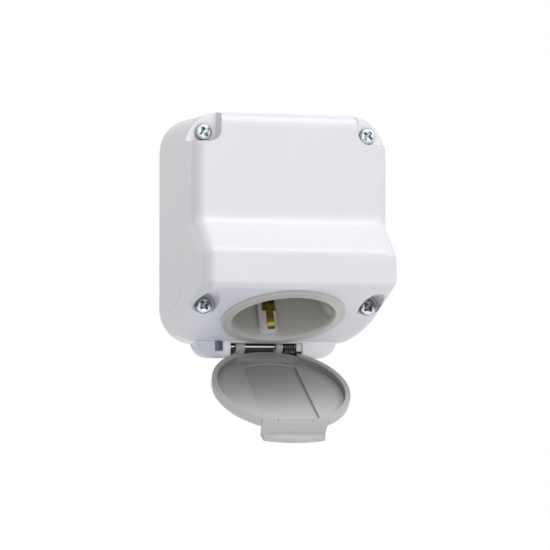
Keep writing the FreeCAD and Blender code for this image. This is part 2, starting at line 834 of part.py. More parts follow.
def socket_insert():
    """Collar and cup in one piece: pin holes, side ribs, earth guides and slots."""
    body = new_body("insert_cup")
    profile = new_sketch(body, "insert_profile", "XZ_Plane")
    below = "-(Dims.recess_depth + Dims.recess_floor)"
    draw_polygon(
        profile,
        [
            ("0", below),
            ("Dims.cup_radius - Dims.collar_round", below),
            ("Dims.cup_radius", f"{below} + Dims.collar_round"),
            ("Dims.cup_radius", "-Dims.collar_stand"),
            ("Dims.collar_radius", "-Dims.collar_stand"),
            ("Dims.collar_radius", "-Dims.collar_round"),
            ("Dims.collar_radius - 0.3 * Dims.collar_round", "-0.3 * Dims.collar_round"),
            ("Dims.collar_radius - Dims.collar_round", "0"),
            ("Dims.mouth_radius + Dims.collar_round / 2", "0"),
            ("Dims.mouth_radius", "-Dims.collar_round / 2"),
            ("Dims.recess_radius", "-2 * Dims.collar_round"),
            ("Dims.recess_radius", "-Dims.recess_depth"),
            ("0", "-Dims.recess_depth"),
        ],
    )
    revolve(body, "insert_turned", profile, "Z_Axis")
    into_wall = "(Dims.recess_radius + Dims.fit)"
    floor = "(-Dims.recess_depth - Dims.fit)"
    ribs = new_body("insert_ribs")
    rib_side = new_sketch(ribs, "rib_side", "XZ_Plane")
    for side in (1, -1):
        inner = f"({side} * (Dims.recess_radius - Dims.rib_height))"
        wall = f"({side} * {into_wall})"
        draw_polygon(
            rib_side,
            [
                (wall, floor),
                (inner, floor),
                (inner, "-Dims.rib_start - Dims.rib_height"),
                (wall, "-Dims.rib_start"),
            ],
        )
    pad(ribs, "rib_pad", rib_side, "Dims.rib_width", both_ways=True)
    guides = [earth_guide("front_guide", 1, into_wall, floor)]
    guides.append(earth_guide("rear_guide", -1, into_wall, floor))
    solid = fuse("insert_solid", body, ribs, *guides)
    openings = []
    for side in (-1, 1):
        tag = "left" if side < 0 else "right"
        pin_x = f"({side} * Dims.pin_spacing / 2)"
        top = "(-Dims.recess_depth + 1)"
        radius = "Dims.pin_hole_radius"
        openings.append(upright_bar(f"pin_hole_{tag}", radius, pin_x, "0", f"{below} - 1", top))
        inner = f"({side} * (Dims.recess_radius - Dims.guide_height - 1))"
        outer = f"({side} * (Dims.recess_radius - Dims.fit))"
        across = (inner, outer) if side > 0 else (outer, inner)
        for part, width, end in (
            ("strip", "Dims.strip_width", "-Dims.clip_shoulder + Dims.fit"),
            ("clip", "Dims.clip_width", "-Dims.clip_slot_start"),
        ):
            half = f"({width} / 2 + Dims.fit)"
            sides = (f"-{half}", half)
            openings.append(block(f"{part}_slot_{tag}", sides, across, (f"{below} - 1", end)))
        screw_x = f"({side} * (Dims.recess_radius - Dims.fit))"
        reach = f"({below} - Dims.carrier_flange + Dims.carrier_screw_length)"
        radius = "Dims.carrier_screw_radius"
        openings.append(upright_bar(f"insert_pilot_{tag}", radius, screw_x, "0", f"{below} - 1", reach))
    finish("socket_insert", cut("socket_insert", solid, *openings), SOCKET_FRAME)


def earth_guide(name, side, wall, floor):
    """A slotted key on the recess wall beside an earth clip, wider to one side and rounded there."""
    body = new_body(name)
    start = "-Dims.guide_far" if side < 0 else "-Dims.guide_near"
    outline = new_sketch(body, name + "_side", "YZ_Plane", start)
    inner = f"({side} * (Dims.recess_radius - Dims.guide_height))"
    draw_polygon(
        outline,
        [
            (f"{side} * {wall}", floor),
            (inner, floor),
            (inner, "-Dims.clip_slot_start"),
            (f"{side} * {wall}", "-Dims.guide_start"),
        ],
    )
    drawn = pad(body, name + "_pad", outline, "Dims.guide_near + Dims.guide_far")
    far = side * value("Dims.guide_far")
    round_edges(
        body,
        name + "_corner",
        drawn,
        lambda edge: abs(edge.CenterOfMass.x - far) < 0.01
        and abs(edge.BoundBox.ZMax - value("-Dims.guide_start")) < 0.01
        and edge.BoundBox.YLength > 0.5,
        "Dims.guide_round",
    )
    return body


def ring_nut():
    """The notched nut that holds the insert from inside the cover."""
    body = new_body("insert_ring_nut")
    ring = new_sketch(body, "nut_ring", "XY_Plane", "-Dims.collar_stand - Dims.wall - Dims.nut_height")
    draw_circle(ring, "0", "0", "Dims.nut_radius")
    draw_circle(ring, "0", "0", "Dims.cup_radius + Dims.fit / 2")
    pad(body, "nut_pad", ring, "Dims.nut_height")
    notch = new_sketch(body, "nut_notch", "XY_Plane", "-Dims.collar_stand - Dims.wall - Dims.nut_height")
    half = "(Dims.nut_notch / 2)"
    draw_polygon(
        notch,
        [
            (f"-{half}", "Dims.cup_radius - 1"),
            (half, "Dims.cup_radius - 1"),
            (half, "Dims.nut_radius + 1"),
            (f"-{half}", "Dims.nut_radius + 1"),
        ],
    )
    first = pocket(
        body, "nut_first_notch", notch, "Dims.nut_height / 2", both_ways=False, backwards=True
    )
    around = body.newObject("PartDesign::PolarPattern", "nut_notches")
    around.Originals = [first]
    around.Axis = (origin_plane(body, "Z_Axis"), [""])
    around.Angle = 360
    around.Occurrences = 8
    body.Tip = around
    finish("insert_ring_nut", body, SOCKET_FRAME)


CONTACT_TOP = "(-(Dims.recess_depth + Dims.recess_floor) - 1)"
STRIP_TOP = f"({CONTACT_TOP} - Dims.contact_length)"
STRIP_BOTTOM = f"({STRIP_TOP} - Dims.strip_thickness)"
EARTH_TOP = f"(-(Dims.recess_depth + Dims.recess_floor) - Dims.carrier_screw_radius / 2)"
EARTH_BOTTOM = f"({EARTH_TOP} - Dims.strip_thickness)"


def pin_contact(name, side):
    """A slit brass tube on a strip that ends under its wire clamp."""
    x = f"({side} * Dims.pin_spacing / 2)"
    tube = upright_bar(f"{name}_tube", "Dims.contact_radius", x, "0", STRIP_TOP, CONTACT_TOP)
    bore = upright_bar(f"{name}_bore", "Dims.pin_radius", x, "0", STRIP_TOP, f"{CONTACT_TOP} + 1")
    slit_x = "(Dims.contact_slit / 2)"
    slit = block(
        f"{name}_slit",
        (f"{x} - {slit_x}", f"{x} + {slit_x}"),
        ("-Dims.contact_radius - 1", "Dims.contact_radius + 1"),
        (f"{STRIP_TOP} + Dims.contact_radius", f"{CONTACT_TOP} + 1"),
    )
    half = "(Dims.strip_width / 2)"
    end = "(Dims.clamp_offset + Dims.clamp_length / 2)"
    strip = block(
        f"{name}_strip",
        (f"{x} - {half}", f"{x} + {half}"),
        (f"-{half}", end),
        (STRIP_BOTTOM, STRIP_TOP),
    )
    open_tube = cut(f"{name}_open_tube", tube, bore, slit)
    hole = upright_bar(
        f"{name}_screw_hole",
        "Dims.terminal_screw_radius",
        x,
        "Dims.clamp_offset",
        f"{STRIP_BOTTOM} - 1",
        f"{STRIP_TOP} + 1",
    )
    solid = fuse(f"{name}_solid", open_tube, strip)
    finish(name, cut(name, solid, hole), SOCKET_FRAME)


def wire_clamp(name, x, y, low, high, screw_low, wire):
    """A brass block with a wire hole across it and a screw hole up from below."""
    half_x = "(Dims.clamp_width / 2)"
    half_y = "(Dims.clamp_length / 2)"
    solid = block(
        f"{name}_block",
        (f"{x} - {half_x}", f"{x} + {half_x}"),
        (f"{y} - {half_y}", f"{y} + {half_y}"),
        (low, high),
    )
    start = f"{y} - 2 * Dims.clamp_length"
    across = "4 * Dims.clamp_length"
    hole = bar(f"{name}_wire", "Dims.wire_radius", across, x, start, wire, turn="-90")
    thread = upright_bar(f"{name}_thread", "Dims.terminal_screw_radius", x, y, screw_low, wire)
    finish(name, cut(name, solid, hole, thread), SOCKET_FRAME)


def terminal_screw(name, x, y, seat, length):
    """A cheese-head screw pointing towards the recess."""
    head = upright_bar(
        f"{name}_head",
        "Dims.terminal_head_radius",
        x,
        y,
        f"{seat} - Dims.terminal_head_height",
        seat,
    )
    shank = upright_bar(f"{name}_shank", "Dims.terminal_screw_radius", x, y, seat, f"{seat} + {length}")
    slot = block(
        f"{name}_slot",
        (f"{x} - Dims.terminal_head_radius - 1", f"{x} + Dims.terminal_head_radius + 1"),
        (f"{y} - Dims.contact_slit / 2", f"{y} + Dims.contact_slit / 2"),
        (f"{seat} - 2 * Dims.terminal_head_height", f"{seat} - Dims.terminal_head_height / 2"),
    )
    return cut(name, fuse(f"{name}_solid", head, shank), slot)


EARTH_Y = "(-Dims.clamp_offset + 0.5)"


def terminals():
    """The wire clamps of line, neutral and earth, and their three screws."""
    screws = []
    high = f"({STRIP_TOP} + Dims.clamp_height)"
    wire = f"({high} - Dims.wire_radius - 1)"
    length = f"({wire} - {STRIP_BOTTOM} - Dims.wire_radius / 2)"
    for name, side in (("line", -1), ("neutral", 1)):
        x = f"({side} * Dims.pin_spacing / 2)"
        wire_clamp(f"{name}_clamp", x, "Dims.clamp_offset", STRIP_TOP, high, STRIP_TOP, wire)
        screws.append(
            terminal_screw(f"{name}_screw", x, "Dims.clamp_offset", STRIP_BOTTOM, length)
        )
    low = f"({EARTH_BOTTOM} - Dims.clamp_height)"
    earth_wire = f"({EARTH_BOTTOM} - Dims.wire_radius - 1)"
    wire_clamp("earth_clamp", "0", EARTH_Y, low, EARTH_BOTTOM, f"{low} - 1", earth_wire)
    earth_length = f"({earth_wire} - {low} - Dims.wire_radius / 2)"
    screws.append(terminal_screw("earth_screw", "0", EARTH_Y, low, earth_length))
    finish("terminal_screws", group("terminal_screws", *screws), SOCKET_FRAME)


def earth_bracket():
    """One bent strip: it crosses under the cup and springs up into the recess at both sides."""
    body = new_body("earth_bracket")
    side = new_sketch(body, "bracket_side", "YZ_Plane")
    outer = "(Dims.recess_radius - 2 * Dims.fit)"
    thick = "Dims.strip_thickness"
    bend = "(-Dims.recess_depth + 0.5)"
    bump = "(-Dims.clip_slot_start - Dims.clip_lean)"
    tip = "(-Dims.clip_slot_start - 2 * Dims.fit)"
    right = [
        (outer, EARTH_BOTTOM),
        (outer, bend),
        (f"{outer} - Dims.clip_lean", bump),
        (outer, tip),
        (f"{outer} - {thick}", tip),
        (f"{outer} - {thick} - Dims.clip_lean", bump),
        (f"{outer} - {thick}", bend),
        (f"{outer} - {thick}", EARTH_TOP),
    ]
    left = [(f"-({y})", z) for y, z in reversed(right)]
    draw_polygon(side, right + left)
    pad(body, "bracket_pad", side, "Dims.strip_width", both_ways=True)
    trims = [
        block(
            f"clip_trim_{tag}",
            (low, high),
            ("-2 * Dims.recess_radius", "2 * Dims.recess_radius"),
            ("-Dims.clip_shoulder", "Dims.recess_radius"),
        )
        for tag, low, high in (
            ("left", "-Dims.strip_width", "-Dims.clip_width / 2"),
            ("right", "Dims.clip_width / 2", "Dims.strip_width"),
        )
    ]
    finish("earth_bracket", cut("earth_bracket", body, *trims), SOCKET_FRAME)


def contact_carrier():
    """The block behind the recess that holds the contacts, open towards the cup's floor."""
    top = "(-(Dims.recess_depth + Dims.recess_floor))"
    body = new_body("carrier_body")
    outline = new_sketch(body, "carrier_outline", "XY_Plane", f"{top} - Dims.carrier_depth")
    half = "(Dims.carrier_body / 2)"
    draw_polygon(
        outline,
        [
            (f"-{half}", "-Dims.carrier_rear"),
            (half, "-Dims.carrier_rear"),
            (half, "Dims.carrier_front"),
            (f"-{half}", "Dims.carrier_front"),
        ],
    )
    drawn = pad(body, "carrier_pad", outline, "Dims.carrier_depth")
    round_edges(
        body,
        "carrier_corners",
        drawn,
        lambda edge: edge.BoundBox.ZLength > value("Dims.carrier_depth") - 0.1,
        "Dims.collar_round * 3",
    )
    flange = block(
        "carrier_flange",
        ("-Dims.carrier_length / 2", "Dims.carrier_length / 2"),
        ("-Dims.carrier_screw_head - 1.5", "Dims.carrier_screw_head + 1.5"),
        (f"{top} - Dims.carrier_flange", top),
    )
    solid = fuse("carrier_solid", body, flange)
    room = "Dims.fit"
    openings = []
    for side in (-1, 1):
        tag = "left" if side < 0 else "right"
        x = f"({side} * Dims.pin_spacing / 2)"
        radius = f"Dims.contact_radius + {room}"
        openings.append(upright_bar(f"well_tube_{tag}", radius, x, "0", STRIP_BOTTOM, f"{top} + 1"))
        half_x = f"(Dims.clamp_width / 2 + {room})"
        openings.append(
            block(
                f"well_clamp_{tag}",
                (f"{x} - {half_x}", f"{x} + {half_x}"),
                (f"-Dims.strip_width / 2 - {room}", f"Dims.clamp_offset + Dims.clamp_length / 2 + {room}"),
                (STRIP_BOTTOM, f"{top} + 1"),
            )
        )
        head_room = "(Dims.terminal_head_radius + 0.4)"
        openings.append(
            upright_bar(
                f"access_{tag}", head_room, x, "Dims.clamp_offset",
                f"{top} - Dims.carrier_depth - 1", f"{STRIP_BOTTOM} + {room}",
            )
        )
        wire_z = f"({STRIP_TOP} + Dims.clamp_height - Dims.wire_radius - 1)"
        wire = "Dims.wire_radius + 0.4"
        spot = (x, "Dims.clamp_offset", wire_z)
        openings.append(bar(f"wire_entry_{tag}", wire, "Dims.carrier_front", *spot, turn="-90"))
        screw_x = f"({side} * (Dims.recess_radius - Dims.fit))"
        hole = "(Dims.carrier_screw_radius + Dims.fit)"
        openings.append(upright_bar(f"flange_hole_{tag}", hole, screw_x, "0", f"{top} - 6", f"{top} + 1"))
    half_strip = f"(Dims.strip_width / 2 + {room})"
    openings.append(
        block(
            "strip_channel",
            (f"-{half_strip}", half_strip),
            ("-2 * Dims.carrier_rear", "2 * Dims.carrier_front"),
            (f"{EARTH_BOTTOM} - {room}", f"{top} + 1"),
        )
    )
    half_x = f"(Dims.clamp_width / 2 + {room})"
    half_y = f"(Dims.clamp_length / 2 + {room})"
    low = f"({EARTH_BOTTOM} - Dims.clamp_height)"
    openings.append(
        block(
            "earth_well",
            (f"-{half_x}", half_x),
            (f"{EARTH_Y} - {half_y}", f"{EARTH_Y} + {half_y}"),
            (low, f"{top} + 1"),
        )
    )
    openings.append(
        upright_bar(
            "earth_access", "Dims.terminal_head_radius + 0.4", "0", EARTH_Y,
            f"{top} - Dims.carrier_depth - 1", f"{low} + {room}",
        )
    )
    spot = ("0", EARTH_Y, f"{EARTH_BOTTOM} - Dims.wire_radius - 1")
    openings.append(bar("earth_entry", "Dims.wire_radius + 0.4", "Dims.carrier_rear", *spot, turn="90"))
    finish("contact_carrier", cut("contact_carrier", solid, *openings), SOCKET_FRAME)


def carrier_screws():
    """The two screws that hold the carrier's ears to the cup."""
    seat = "(-(Dims.recess_depth + Dims.recess_floor) - Dims.carrier_flange)"
    screws = []
    for side in (-1, 1):
        tag = "left" if side < 0 else "right"
        x = f"({side} * (Dims.recess_radius - Dims.fit))"
        head = upright_bar(
            f"ear_head_{tag}", "Dims.carrier_screw_head", x, "0",
            f"{seat} - Dims.terminal_head_height", seat,
        )
        reach = f"({seat} + Dims.carrier_screw_length)"
        shank = upright_bar(f"ear_shank_{tag}", "Dims.carrier_screw_radius", x, "0", seat, reach)
        screws.append(fuse(f"ear_screw_{tag}", head, shank))
    finish("carrier_screws", group("carrier_screws", *screws), SOCKET_FRAME)


KNUCKLE_LEFT = "(Dims.knuckle_left_in - Dims.gap_width / 2)"
KNUCKLE_RIGHT = "(Dims.gap_width / 2 - Dims.knuckle_right_in)"
SPRING_LEFT = (
    f"({KNUCKLE_RIGHT} + Dims.knuckle_right_width / 2 + Dims.spring_end_gap + Dims.spring_wire)"
)
SPRING_RIGHT = "(Dims.gap_width / 2 - Dims.boss_length - Dims.spring_end_gap - Dims.spring_wire)"


def lid():
    """The round lid: raised rim, sunk central band, hinge block, knuckles and finger tab."""
    top = "(-Dims.rim_top)"
    bottom = f"({top} + Dims.lid_height)"
    floor = f"({bottom} - Dims.lid_plate)"
    block_top = f"({top} + Dims.block_drop)"
    reach = "Dims.hinge_reach"
    body = new_body("lid_disc")
    disc = new_sketch(body, "lid_outline", "XY_Plane", top)
    draw_circle(disc, "0", reach, "Dims.lid_radius")
    drawn = pad(body, "lid_pad", disc, "Dims.lid_height")
    low = value(bottom)
    round_edges(
        body,
        "lid_edge",
        drawn,
        lambda edge: abs(edge.BoundBox.ZMin - low) < 0.01,
        "Dims.lid_edge_radius",
    )
    face = f"({reach} + Dims.tab_face)"
    inside = f"({face} - Dims.tab_wall)"
    beyond = block(
        "beyond_tab_face",
        ("-Dims.lid_radius", "Dims.lid_radius"),
        (face, f"{reach} + 2 * Dims.lid_radius"),
        ("-Dims.lid_height", "2 * Dims.lid_height"),
    )
    trimmed = cut("lid_trimmed", body, beyond)
    before = block(
        "before_tab_wall",
        ("-Dims.lid_radius", "Dims.lid_radius"),
        ("0", inside),
        ("-Dims.lid_height", "2 * Dims.lid_height"),
    )
    dish_bar = upright_bar(
        "dish_bar", "Dims.lid_radius - Dims.rim_wall", "0", reach, f"{top} - 1", floor
    )
    dish = common("lid_dish", dish_bar, before)
    plan = new_body("band_plan")
    plan_outline = new_sketch(plan, "band_outline", "XY_Plane", f"{floor} - Dims.fit")
    draw_polygon(
        plan_outline,
        [
            ("-Dims.band_near / 2", "Dims.block_reach"),
            ("Dims.band_near / 2", "Dims.block_reach"),
            ("Dims.band_far / 2", inside),
            ("-Dims.band_far / 2", inside),
        ],
    )
    pad(plan, "band_pad", plan_outline, "Dims.band_depth + Dims.fit")
    near_end = upright_bar("band_near_end", "Dims.band_radius", "0", reach, "0", "Dims.lid_height")
    far_end = block(
        "band_far_end",
        ("-Dims.band_far", "Dims.band_far"),
        (reach, inside),
        ("0", "Dims.lid_height"),
    )
    band = common("lid_band", plan, fuse("band_shape", near_end, far_end))
    whole = upright_bar("lid_whole", "Dims.lid_radius - Dims.fit", "0", reach, "-1", bottom)
    half_block = "(Dims.block_width / 2)"
    hinge_block = common(
        "hinge_block",
        block(
            "hinge_block_box",
            (f"-{half_block}", half_block),
            ("0", "Dims.block_reach"),
            (block_top, f"{bottom} - Dims.lid_plate / 2"),
        ),
        whole,
    )
    rim_gap = block(
        "rim_gap",
        (f"-{half_block}", half_block),
        ("-1", f"{reach} - Dims.lid_radius + 4 * Dims.rim_wall"),
        (f"{top} - 2", block_top),
    )
    arms = []
    for tag, middle, width in (
        ("left", KNUCKLE_LEFT, "Dims.knuckle_left_width"),
        ("right", KNUCKLE_RIGHT, "Dims.knuckle_right_width"),
    ):
        edges = (f"{middle} - {width} / 2", f"{middle} + {width} / 2")
        arms.append(cross_bar(f"knuckle_{tag}", "Dims.knuckle_radius", *edges))
        arms.append(
            block(
                f"arm_{tag}",
                edges,
                ("0", "Dims.block_reach - 1"),
                (block_top, f"{block_top} + Dims.knuckle_radius"),
            )
        )
    bore = cross_bar(
        "knuckle_bore",
        "Dims.hinge_pin_radius + Dims.running_fit",
        "-Dims.gap_width / 2",
        "Dims.gap_width / 2",
    )
    leg_hole = bar(
        "spring_leg_hole",
        "Dims.spring_wire + Dims.fit / 2",
        "Dims.spring_leg + Dims.fit",
        SPRING_LEFT,
        "0",
        "Dims.spring_radius",
        turn="-90",
    )
    foot = f"({top} + Dims.tab_height)"
    wall = new_body("tab_wall")
    wall_outline = new_sketch(wall, "tab_wall_outline", "XZ_Plane", f"-{face}")
    half_foot = "(Dims.tab_foot_width / 2)"
    draw_polygon(
        wall_outline,
        [
            ("-Dims.tab_width / 2", top),
            ("Dims.tab_width / 2", top),
            (half_foot, foot),
            (f"-{half_foot}", foot),
        ],
    )
    pad(wall, "tab_wall_pad", wall_outline, "Dims.tab_wall")
    lip = new_body("tab_lip")
    lip_outline = new_sketch(lip, "tab_lip_outline", "XY_Plane", f"{foot} - Dims.tab_lip_height")
    tip = f"({face} + Dims.tab_lip)"
    draw_polygon(
        lip_outline,
        [
            (f"-{half_foot}", inside),
            (half_foot, inside),
            (half_foot, tip),
            (f"-{half_foot}", tip),
        ],
    )
    lip_pad = pad(lip, "tab_lip_pad", lip_outline, "Dims.tab_lip_height")
    far = value(tip)
    round_edges(
        lip,
        "tab_lip_corners",
        lip_pad,
        lambda line: line.BoundBox.ZLength > 1 and abs(line.CenterOfMass.y - far) < 0.01,
        "Dims.tab_corner",
    )
    curve = upright_bar(
        "tab_curve_bar", "Dims.tab_curve", "0", f"{tip} - Dims.tab_curve", top, f"{foot} + 1"
    )
    curved_lip = common("tab_curved_lip", lip, curve)
    collar_room = upright_bar(
        "collar_room",
        "Dims.lid_radius - Dims.rim_wall",
        "0",
        reach,
        f"{top} - 1",
        f"{top} + Dims.rim_top + Dims.hinge_inset + Dims.lid_clearance",
    )
    dished = cut("lid_dished", trimmed, dish)
    blocked = cut("lid_blocked", fuse("lid_with_block", dished, hinge_block), rim_gap, band)
    solid = fuse("lid_solid", blocked, wall, curved_lip, *arms)
    finish("lid", cut("lid", solid, bore, leg_hole, collar_room), LID_FRAME)


def hinge_parts():
    """The steel pin through the ears and knuckles, and the spring wound round it."""
    finish(
        "hinge_pin",
        hinge_bar("hinge_pin", "Dims.hinge_pin_radius", "-Dims.pin_left", "Dims.pin_right"),
    )
    lean = "(Dims.lid_open - Dims.tilt)"
    turns = f"(Dims.spring_turns + 1 - {lean} / 360)"
    span = f"({SPRING_RIGHT} - {SPRING_LEFT})"
    path = doc.addObject("Part::Helix", "spring_path")
    path.setExpression("Radius", "Dims.spring_radius")
    path.setExpression("Height", span)
    path.setExpression("Pitch", f"{span} / {turns}")
    section = doc.addObject("Part::RegularPolygon", "spring_section")
    section.Polygon = 8
    section.setExpression("Circumradius", "Dims.spring_wire")
    place(section, "Dims.spring_radius", "0", "0", turn="90")
    coil = doc.addObject("Part::Sweep", "spring_coil")
    coil.Sections = [section]
    coil.Spine = (path, [])
    coil.Solid = True
    coil.Frenet = True
    spot = f"vector({SPRING_LEFT}; -{HINGE_FORWARD}; {HINGE_HEIGHT})"
    coil.setExpression(
        "Placement",
        f"placement({spot}; rotation(vector(1; 0; 0); {lean}))"
        " * placement(vector(0; 0; 0); rotation(vector(0; 1; 0); 90))",
    )
    lid_leg = bar(
        "spring_lid_leg",
        "Dims.spring_wire",
        "Dims.spring_leg",
        SPRING_LEFT,
        f"-{HINGE_FORWARD} + Dims.spring_radius * sin({lean})",
        f"{HINGE_HEIGHT} - Dims.spring_radius * cos({lean})",
        turn=f"90 + {lean}",
    )
    wall_leg = bar(
        "spring_wall_leg",
        "Dims.spring_wire",
        f"{HINGE_FORWARD} - Dims.gap_back - Dims.fit",
        SPRING_RIGHT,
        f"-{HINGE_FORWARD}",
        f"{HINGE_HEIGHT} - Dims.spring_radius",
        turn="-90",
    )
    finish("lid_spring", fuse("lid_spring", coil, lid_leg, wall_leg))


def check_document():
    """Stop if any object failed to build or any finished piece has no sound solid."""
    for thing in doc.Objects:
        failed = [state for state in thing.State if state in ("Invalid", "Error")]
        if failed:
            raise RuntimeError(f"{thing.Name} did not build: {thing.State}")
    for name, thing in NODES.items():
        shape = thing.Shape
        if shape.isNull() or not shape.isValid() or not shape.Solids:
            raise RuntimeError(f"{name} has no valid solid")


def main():
    outer = housing_form("outer_form", "0", rounded=True)
    inner = housing_form("inner_form", "Dims.wall", back="Dims.wall")
    gasket_outer = housing_form("gasket_outer", "Dims.gasket_inset")
    gasket_inner = housing_form("gasket_inner", "(Dims.gasket_inset + Dims.gasket_width)")
    shell = cut("housing_shell", outer, inner)
    zone = rear_zone()
    gasket = common("cover_gasket", cut("gasket_ring", gasket_outer, gasket_inner), seam_band())
    back_box(shell, outer, zone, gasket)
    front_cover(shell, outer, zone, gasket)
    finish("cover_gasket", gasket)
    cover_fasteners()
    cable_grommet()
    socket_insert()
    finish("collar_seal", seal_ring("collar_seal"), SOCKET_FRAME)
    ring_nut()
    pin_contact("line_contact", -1)
    pin_contact("neutral_contact", 1)
    terminals()
    earth_bracket()
    contact_carrier()
    carrier_screws()
    lid()
    hinge_parts()
    doc.recompute()
    check_document()
    os.makedirs("parts", exist_ok=True)
    for name, thing in NODES.items():
        thing.Shape.exportStep(f"parts/{name}.step")
        print(f"{name}: {len(thing.Shape.Solids)} solid(s), {thing.Shape.Volume / 1000:.2f} cm3")


main()
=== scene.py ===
import json
import math

import bpy
from mathutils import Matrix, Vector


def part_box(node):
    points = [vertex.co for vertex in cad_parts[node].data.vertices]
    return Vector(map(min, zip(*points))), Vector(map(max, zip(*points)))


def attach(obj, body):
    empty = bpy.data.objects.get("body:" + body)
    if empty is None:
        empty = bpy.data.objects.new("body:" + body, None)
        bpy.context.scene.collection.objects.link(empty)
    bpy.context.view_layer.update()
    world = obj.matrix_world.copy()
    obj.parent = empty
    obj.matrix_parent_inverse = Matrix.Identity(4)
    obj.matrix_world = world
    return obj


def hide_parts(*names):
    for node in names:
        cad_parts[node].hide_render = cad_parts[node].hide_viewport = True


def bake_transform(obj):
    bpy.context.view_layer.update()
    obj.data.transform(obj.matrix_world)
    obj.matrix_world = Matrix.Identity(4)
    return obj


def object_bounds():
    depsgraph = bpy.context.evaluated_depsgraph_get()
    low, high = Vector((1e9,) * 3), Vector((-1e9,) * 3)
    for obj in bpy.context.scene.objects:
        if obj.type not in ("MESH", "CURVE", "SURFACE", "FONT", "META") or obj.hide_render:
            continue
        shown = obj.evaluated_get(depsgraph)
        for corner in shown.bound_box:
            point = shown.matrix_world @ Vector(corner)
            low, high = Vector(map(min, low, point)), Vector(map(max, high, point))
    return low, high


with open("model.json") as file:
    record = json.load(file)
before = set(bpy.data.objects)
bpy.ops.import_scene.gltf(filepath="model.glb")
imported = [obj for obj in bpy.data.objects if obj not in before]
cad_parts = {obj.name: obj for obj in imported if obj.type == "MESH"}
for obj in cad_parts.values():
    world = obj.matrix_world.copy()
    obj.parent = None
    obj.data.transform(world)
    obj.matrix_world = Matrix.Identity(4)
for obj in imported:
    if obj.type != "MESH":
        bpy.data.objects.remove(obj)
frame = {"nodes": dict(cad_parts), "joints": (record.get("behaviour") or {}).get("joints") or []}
CAD_LOW, CAD_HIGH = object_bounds()

MM = 0.001
HOUSING = "housing"
LID = "lid"
HINGE = Vector(frame["joints"][0]["pos_m"])

# places in millimetres: right, forward and up from the frame's origin
HINGE_FORWARD, HINGE_UP = -HINGE.y / MM, HINGE.z / MM
WALL_GAP = 0.5

# the slot behind the pin, with the lug at its right end
GAP_HALF = 15.0
SLOT_HALF = GAP_HALF + 0.15
SLOT_FRONT = HINGE_FORWARD + 2.6
SLOT_FOOT, SLOT_TOP = HINGE_UP - 4.9, HINGE_UP + 4.4
LUG_LEFT, LUG_BACK = GAP_HALF - 2.2, HINGE_FORWARD + 1.4

# the chin, the stretch of it with painted shade, and the window at the pin's left end
CHIN_FORWARD = 10.6
CHIN_FRONT, CHIN_TOP = CHIN_FORWARD + 0.4, HINGE_UP + 5
CHIN_SHADE_LEFT, CHIN_SHADE_RIGHT = -30, -14
WINDOW_LEFT, WINDOW_RIGHT = -21.6, -18
WINDOW_FRONT, WINDOW_TOP = CHIN_FORWARD - 0.15, HINGE_UP + 4
PIN_UNDER = HINGE_UP - 0.05

# the cover's screws, pockets, wells and sides
SCREW_LOW, SCREW_HIGH = (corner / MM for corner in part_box("cover_screws"))
HEAD_RADIUS = 3.3
SCREW_ACROSS = (SCREW_HIGH.x - SCREW_LOW.x) / 2 - HEAD_RADIUS
SCREW_MIDDLE = (SCREW_HIGH.z + SCREW_LOW.z) / 2
SCREW_RISE = (SCREW_HIGH.z - SCREW_LOW.z) / 2 - HEAD_RADIUS
HEAD_TOP = -SCREW_LOW.y
CROSS_TOP, CROSS_FLOOR, CROSS_REACH = HEAD_TOP - 0.12, HEAD_TOP - 1.35, 2.35
HEAD_EDGE = 2.75
UNLIT_FOOT = SCREW_MIDDLE - SCREW_RISE - 1.3
SCREW_SEAT = 36.6
POCKET_BACK, POCKET_FRONT = SCREW_SEAT - 0.3, SCREW_SEAT + 0.35
POCKET_SIDE, POCKET_FOOT = 27.88, 32.38
ROUND_ACROSS, ROUND_UP, ROUND_RADIUS = 27, 30.7, 13.45
WELL_BACK, WELL_RADIUS = SCREW_SEAT + 0.2, 4.75
WELL_LIGHT = 10
SIDE_ACROSS = CAD_HIGH.x / MM
SIDE_SLOPE = math.tan(math.radians(1.5))
SIDE_SKIN = 1.5
SIDE_DARK_UP, SIDE_LIGHT_RISE = -25, 50
EDGE_START, EDGE_END, EDGE_BACK = 0.5, 6.8, 37.5

# the socket, by across, along its leaning face and outwards from its mouth
MOUTH_FORWARD, MOUTH_UP = 34.7, -36.4
FACE_LEAN = math.radians(21.5)
RIM_RADIUS, RIM_BACK = 22.2, -2.2
RING_RADIUS, RING_BACK, RING_BRIGHT = 20, -1.9, 2
CUP_START, CUP_BRIGHT = -1, 8
PROUD_RADIUS, PROUD_BACK = 19.75, -17
UNDER_BACK, UNDER_COOL = -3, 6
CLIP_BRIGHT = -6.5

# the open lid, by right, along it from the pin and through it to its outer face
LID_HANG = math.radians(33)
LID_REACH = 29.4
DISH_RADIUS, DISH_END, DISH_TOP, DISH_FLOOR = 25.45, 52.4, 1, 4
WALL_INNER, WALL_OUTER, WALL_TOP, WALL_END = 25.3, 25.7, 0.1, 48
HINGE_SHADE_END = 50
CORNER_TOP, CORNER_RADIUS, CORNER_HALF, CORNER_RIGHT = 1.4, 21.3, 12.3, 10.9
CORNER_START, CORNER_END = 7, 9.5
STEP_HALF, STEP_SPREAD, STEP_WIDTH = 10.45, 0.02, 0.32
STEP_TOP, STEP_FOOT, STEP_END = 2.7, 3.8, 51.5
# how dark the lid's painted shade is on its wall, corners, steps and outside the dish
WALL_DARK, CORNER_DARK, CORNER_END_DARK, STEP_DARK, OUTSIDE_DARK = 0.95, 0.4, 0.45, 0.6, 0.26


